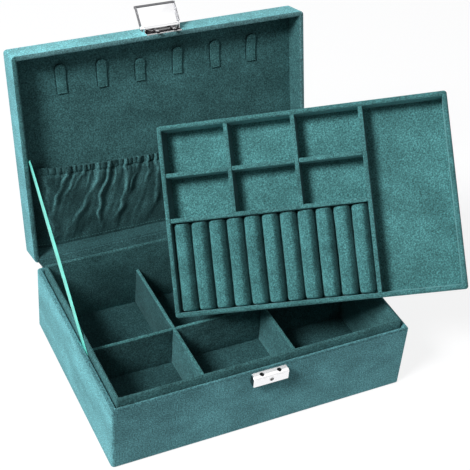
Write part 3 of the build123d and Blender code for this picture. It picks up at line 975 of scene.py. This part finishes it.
def tab_points():
    """Three stitches near either end of each tab."""
    for number, (across, out, turned, length) in enumerate(TAB_PLACES, start=1):
        corners = [v.co for v in nodes["necklace_tab_%d" % number].data.vertices]
        middle = sum(corner.x for corner in corners) / len(corners) + across * MM
        face_height = min(lid_height(corner) for corner in corners) - STITCH_SUNK
        near = min(lid_reach(corner) for corner in corners)
        far = near + (max(lid_reach(corner) for corner in corners) - near) * length
        for reach in (near + (out + NEAR_ROW) * MM, far + (out - FAR_ROW) * MM):
            for step in (-STITCH_STEP, 0, STITCH_STEP):
                yield in_lid(middle + step, reach, face_height)


stitches("pocket_stitches", "pocket_cloth", foot_points())
stitches("tab_stitches", "lining_fabric", tab_points())


# ring rolls: foam bolsters in velvet, side by side across the tray

ROLLS = 11
ROLL_SIDES = 28
ROLL_STEPS = 30
END_RINGS = 4
END_STARTS = 0.95
END_DRAWN_IN = 0.04
END_ROUNDED = 0.012
END_BULGE = 0.24 * MM
SEAT_SIDES = 0.55
SEAT_FLAT = 0.45
SLIMMED = 0.915
CROWN_FALL = 0.6 * MM
SUNK = 0.3 * MM
ROLL_BOW = 0.3 * MM
ROLL_LUMPS = 0.2 * MM


def roll_box(number):
    """The roll's corners in the tray's own directions."""
    to_tray = TRAY_PLACE.inverted()
    corners = [to_tray @ v.co for v in nodes["ring_roll_%02d" % number].data.vertices]
    low = Vector((min(c[i] for c in corners) for i in range(3)))
    high = Vector((max(c[i] for c in corners) for i in range(3)))
    return low, high


def start_roll(half):
    """A roll in its own frame: round crown, flat seat, drawn-in ends, a little slim."""
    bpy.ops.mesh.primitive_cylinder_add(
        vertices=ROLL_SIDES, radius=1.0, depth=2.0, end_fill_type="NGON"
    )
    roll = bpy.context.active_object
    lengthwise = Vector((0, 0, 1))
    levels = [2.0 * step / ROLL_STEPS - 1.0 for step in range(1, ROLL_STEPS)]
    cut_faces(roll, any_face, *((lengthwise * level, lengthwise) for level in levels))
    pick_faces(roll, lambda face: len(face.vertices) > 8)
    bpy.ops.object.mode_set(mode="EDIT")
    for _ in range(END_RINGS):
        bpy.ops.mesh.inset(thickness=0.2)
    bpy.ops.object.mode_set(mode="OBJECT")
    top = half.x
    for vertex in roll.data.vertices:
        right, upward, along = vertex.co
        radius = min(1.0, math.hypot(right, upward))
        heading = math.atan2(upward, right)
        end = max(0.0, (abs(along) - END_STARTS) / (1 - END_STARTS))
        draw = 1.0 - END_DRAWN_IN * end ** 2
        x = math.cos(heading)
        z = math.sin(heading)
        if z < 0:
            x = math.copysign(abs(x) ** SEAT_SIDES, x)
            z = math.copysign(abs(z) ** SEAT_FLAT, z)
        depth = top * draw if z >= 0 else 2 * half.z - top
        crown = CROWN_FALL * (math.cos(along * math.pi / 2) - 1) if z > 0 else 0.0
        bulge = (1.0 - radius) * math.copysign(END_BULGE, along)
        vertex.co = (
            SLIMMED * half.x * x * radius * draw,
            half.y * along * (1 - END_ROUNDED * radius * end) - bulge,
            (half.z - top) + depth * z * radius + crown - SUNK,
        )
    return roll


SIM_SCALE = 10.0
SIM_CAP = 0.3 * MM
SIM_FRAMES = 20
VOXEL = 1.25 * MM
PRESSURE = 4
SEAT_BELOW = -0.7


def plump(roll, half):
    """Velvet drawn over foam: a cloth under pressure whose points may not move far."""
    scene = bpy.context.scene
    roll.data.transform(Matrix.Scale(SIM_SCALE, 4))
    remesh = roll.modifiers.new("remesh", "REMESH")
    remesh.mode = "VOXEL"
    remesh.voxel_size = VOXEL * SIM_SCALE
    apply_all(roll)
    before = [v.co.copy() for v in roll.data.vertices]
    seat = roll.vertex_groups.new(name="seat")
    low = SEAT_BELOW * half.z * SIM_SCALE
    seat.add([v.index for v in roll.data.vertices if v.co.z < low], 1.0, "REPLACE")
    cloth = roll.modifiers.new("velvet", "CLOTH")
    cloth.settings.quality = 5
    cloth.settings.use_pressure = True
    cloth.settings.uniform_pressure_force = PRESSURE
    cloth.settings.vertex_group_mass = "seat"
    cloth.settings.effector_weights.gravity = 0
    cloth.point_cache.frame_start = 1
    cloth.point_cache.frame_end = SIM_FRAMES
    for step in range(1, SIM_FRAMES + 1):
        scene.frame_set(step)
    apply_all(roll)
    scene.frame_set(1)
    roll.vertex_groups.clear()
    for vertex, start in zip(roll.data.vertices, before):
        move = vertex.co - start
        if move.length > SIM_CAP * SIM_SCALE:
            vertex.co = start + move.normalized() * SIM_CAP * SIM_SCALE
    roll.data.transform(Matrix.Scale(1 / SIM_SCALE, 4))


def place_roll(first, half, number):
    """A copy of the first roll with its own small bow and lumps, every other one turned round."""
    low, high = roll_box(number)
    middle = (low + high) / 2
    name = "ring_roll_%02d" % number
    roll = add_object(name + "_padded", first.data.copy())
    way = 1 if number % 2 else -1
    for vertex in roll.data.vertices:
        place = Vector((way * vertex.co.x, way * vertex.co.y, vertex.co.z))
        along = place.y / half.y
        bow = ROLL_BOW * math.sin(number * 2.1) * math.cos(along * math.pi / 2)
        lump = ROLL_LUMPS * wander(number * 3.7, along * 5.0, place.x * 190)
        raised = 1 if place.z > 0 else 0
        vertex.co = middle + place + Vector((bow + lump, 0, lump * raised))
    roll.data.update()
    # painted shade: a value that falls on the roll's flank turned from the light
    nap_and_painted_light = roll.data.attributes.new("nap_and_painted_light", "FLOAT", "POINT")
    for vertex in roll.data.vertices:
        nap_and_painted_light.data[vertex.index].value = 0.5 - 0.5 * vertex.normal.x
    roll.data.transform(TRAY_PLACE)
    finish_piece(roll, name + "_padded", "tray", roll_velvet, "ring_foam", name, angle=60)


def make_rolls():
    low, high = roll_box(1)
    half = (high - low) / 2
    first = start_roll(half)
    plump(first, half)
    subdivide = first.modifiers.new("round", "SUBSURF")
    subdivide.levels = 1
    subdivide.render_levels = 1
    apply_all(first)
    for number in range(1, ROLLS + 1):
        place_roll(first, half, number)
    bpy.data.objects.remove(first)


make_rolls()


# ribbons that hold the lid

RIBBON_WIDTH = 7 * MM
RIBBON_THICKNESS = 0.3 * MM
RIBBON_GROOVE = (-15 * MM, 62 * MM)
RIBBON_REACH = 96.2 * MM
RIBBON_TWIST = math.radians(6)
RIBBON_CUP = 0.2 * MM
NARROWS_FROM = 0.90
NARROWS_BY = 0.45
TUCKED_IN = 10 * MM


def make_ribbon(side, sign, short):
    """A band from the groove in the base to the lid, a little twisted and hollow."""
    node = "ribbon_" + side
    low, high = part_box(node)
    x = (low.x + high.x) / 2
    foot = Vector((x, *RIBBON_GROOVE))
    head = in_lid(x, RIBBON_REACH, 0.2 * MM)
    way = (head - foot).normalized()
    across = Vector((0, -way.z, way.y))
    start = foot - way * TUCKED_IN
    end = head - way * short
    bpy.ops.mesh.primitive_grid_add(x_subdivisions=6, y_subdivisions=90, size=2)
    band = bpy.context.active_object
    for vertex in band.data.vertices:
        aside, along = vertex.co.x, (vertex.co.y + 1) / 2
        twist = RIBBON_TWIST * math.sin(math.pi * along) ** 2
        lean = across * math.cos(twist) + ACROSS * math.sin(twist)
        cup = ACROSS * (RIBBON_CUP * (1 - aside * aside)) * sign
        narrow = 1 - NARROWS_BY * max(0.0, (along - NARROWS_FROM) / (1 - NARROWS_FROM)) ** 2
        vertex.co = start.lerp(end, along) + lean * (RIBBON_WIDTH / 2 * aside * narrow) + cup
    thicken(band, RIBBON_THICKNESS)
    name_and_smooth(band, node + "_band", ribbon_satin, 50)
    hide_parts(node)
    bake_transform(band)


make_ribbon("left", -1, 2 * MM)
make_ribbon("right", 1, 13 * MM)


# the cover runs on as a strip from the base's back wall to the lid's, behind the hinges

STRIP_HALF = 0.1236
STRIP_WIDENS = 4.5 * MM
STRIP_SAG = 0.63 * MM
STRIP_RIPPLE = 0.12 * MM
STRIP_THICKNESS = 0.4 * MM


def make_hinge_strip():
    foot = Vector((0, 88 * MM, 62.1 * MM))
    head = in_lid(0, 4.8 * MM, -0.2 * MM)
    bpy.ops.mesh.primitive_grid_add(x_subdivisions=120, y_subdivisions=14, size=2)
    strip = bpy.context.active_object
    for vertex in strip.data.vertices:
        along = (vertex.co.y + 1) / 2
        x = vertex.co.x * (STRIP_HALF + STRIP_WIDENS * along)
        place = foot.lerp(head, along)
        sag = STRIP_SAG * math.sin(along * math.pi)
        ripple = STRIP_RIPPLE * wander(x * 130, along * 3, 2.0)
        vertex.co = place + Vector((x, ripple - sag, ripple - sag))
    thicken(strip, STRIP_THICKNESS)
    # painted shade: the strip gets a darker copy of the velvet
    name_and_smooth(strip, "hinge_strip", interior_painted_shade_velvet, 50)
    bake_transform(strip)


make_hinge_strip()


# floor, light and camera

FLOOR_SIZE = 12
FLOOR_GAP = 0.2 * MM
FLOOR_COLOUR = (0.17, 0.172, 0.178, 1)
FLOOR_LIFT = 0.85
FLOOR_BOUNCE = 0.21
SKY = 0.20
WHITE = (1, 1, 1, 1)


def looked_at(tree):
    """The kinds of ray, and 1 where the eye or a gloss looks."""
    ray = tree.nodes.new("ShaderNodeLightPath")
    seen = larger(tree, ray.outputs["Is Camera Ray"], ray.outputs["Is Glossy Ray"])
    return ray, seen


def make_stage():
    """A pale floor, paler to the eye than the light it throws back on the box."""
    bpy.ops.mesh.primitive_plane_add(size=FLOOR_SIZE, location=(0, 0, -FLOOR_GAP))
    floor = bpy.context.active_object
    floor.name = "floor"
    made, tree, shader = new_material("pale_floor")
    shader.inputs["Base Color"].default_value = FLOOR_COLOUR
    shader.inputs["Roughness"].default_value = 0.9
    lift = tree.nodes.new("ShaderNodeEmission")
    lift.inputs["Color"].default_value = WHITE
    ray, seen = looked_at(tree)
    level = map_range(tree, seen, FLOOR_BOUNCE, FLOOR_LIFT)
    tree.links.new(level, lift.inputs["Strength"])
    both = tree.nodes.new("ShaderNodeAddShader")
    tree.links.new(shader.outputs["BSDF"], both.inputs[0])
    tree.links.new(lift.outputs["Emission"], both.inputs[1])
    tree.links.new(both.outputs["Shader"], tree.nodes["Material Output"].inputs["Surface"])
    floor.data.materials.append(made)


def make_world():
    """White to the eye, dim as a light, and a studio from dark to white in the metal."""
    world = bpy.data.worlds.new("studio")
    bpy.context.scene.world = world
    world.use_nodes = True
    tree = world.node_tree
    sky = tree.nodes["Background"]
    ray, seen = looked_at(tree)
    seen_through = larger(tree, seen, ray.outputs["Is Transmission Ray"])
    tree.links.new(map_range(tree, seen_through, SKY, 1.0), sky.inputs["Strength"])
    place = tree.nodes.new("ShaderNodeTexCoord")
    split = tree.nodes.new("ShaderNodeSeparateXYZ")
    tree.links.new(place.outputs["Generated"], split.inputs["Vector"])
    rising = [(0.05, grey(0.10)), (0.30, grey(0.42)), (0.52, grey(0.95)), (0.90, grey(1.0))]
    mix = tree.nodes.new("ShaderNodeMix")
    mix.data_type = "RGBA"
    mix.inputs["A"].default_value = WHITE
    tree.links.new(ray.outputs["Is Glossy Ray"], mix.inputs["Factor"])
    tree.links.new(ramp(tree, split.outputs["Z"], rising), mix.inputs["B"])
    tree.links.new(mix.outputs["Result"], sky.inputs["Color"])


KEY_WAY = Vector((-0.665, -0.258, 0.700))
FILL_WAY = Vector((0.5, -0.7, 0.8))
LIT_POINT = Vector((0.02, 0.02, 0.10))


def area_light(name, way, distance, size, power):
    data = bpy.data.lights.new(name, "AREA")
    data.shape = "DISK"
    data.size = size
    data.energy = power
    lamp = add_object(name, data)
    lamp.location = LIT_POINT + way.normalized() * distance
    lamp.rotation_euler = (LIT_POINT - lamp.location).to_track_quat("-Z", "Y").to_euler()


CAMERA_LENS = 92.05
CAMERA_SENSOR = 36
CAMERA_PLACE = (-0.35811, -0.67369, 0.71296)
CAMERA_RIGHT = Vector((0.90098, -0.42798, 0.07113))
CAMERA_UP = Vector((0.21052, 0.57462, 0.79088))
CAMERA_AHEAD = Vector((0.37936, 0.69759, -0.60782))


def make_camera():
    data = bpy.data.cameras.new("camera")
    data.lens = CAMERA_LENS
    data.sensor_width = CAMERA_SENSOR
    data.sensor_height = CAMERA_SENSOR
    data.sensor_fit = "HORIZONTAL"
    data.clip_start = 0.01
    camera = add_object("camera", data)
    turn = Matrix((CAMERA_RIGHT, CAMERA_UP, -CAMERA_AHEAD)).transposed().to_4x4()
    camera.matrix_world = Matrix.Translation(CAMERA_PLACE) @ turn
    bpy.context.scene.camera = camera


make_stage()
make_world()
area_light("key", KEY_WAY, distance=1.9, size=0.56, power=40)
area_light("fill", FILL_WAY, distance=2.2, size=1.6, power=2)
make_camera()
bpy.context.scene.view_settings.view_transform = "Standard"
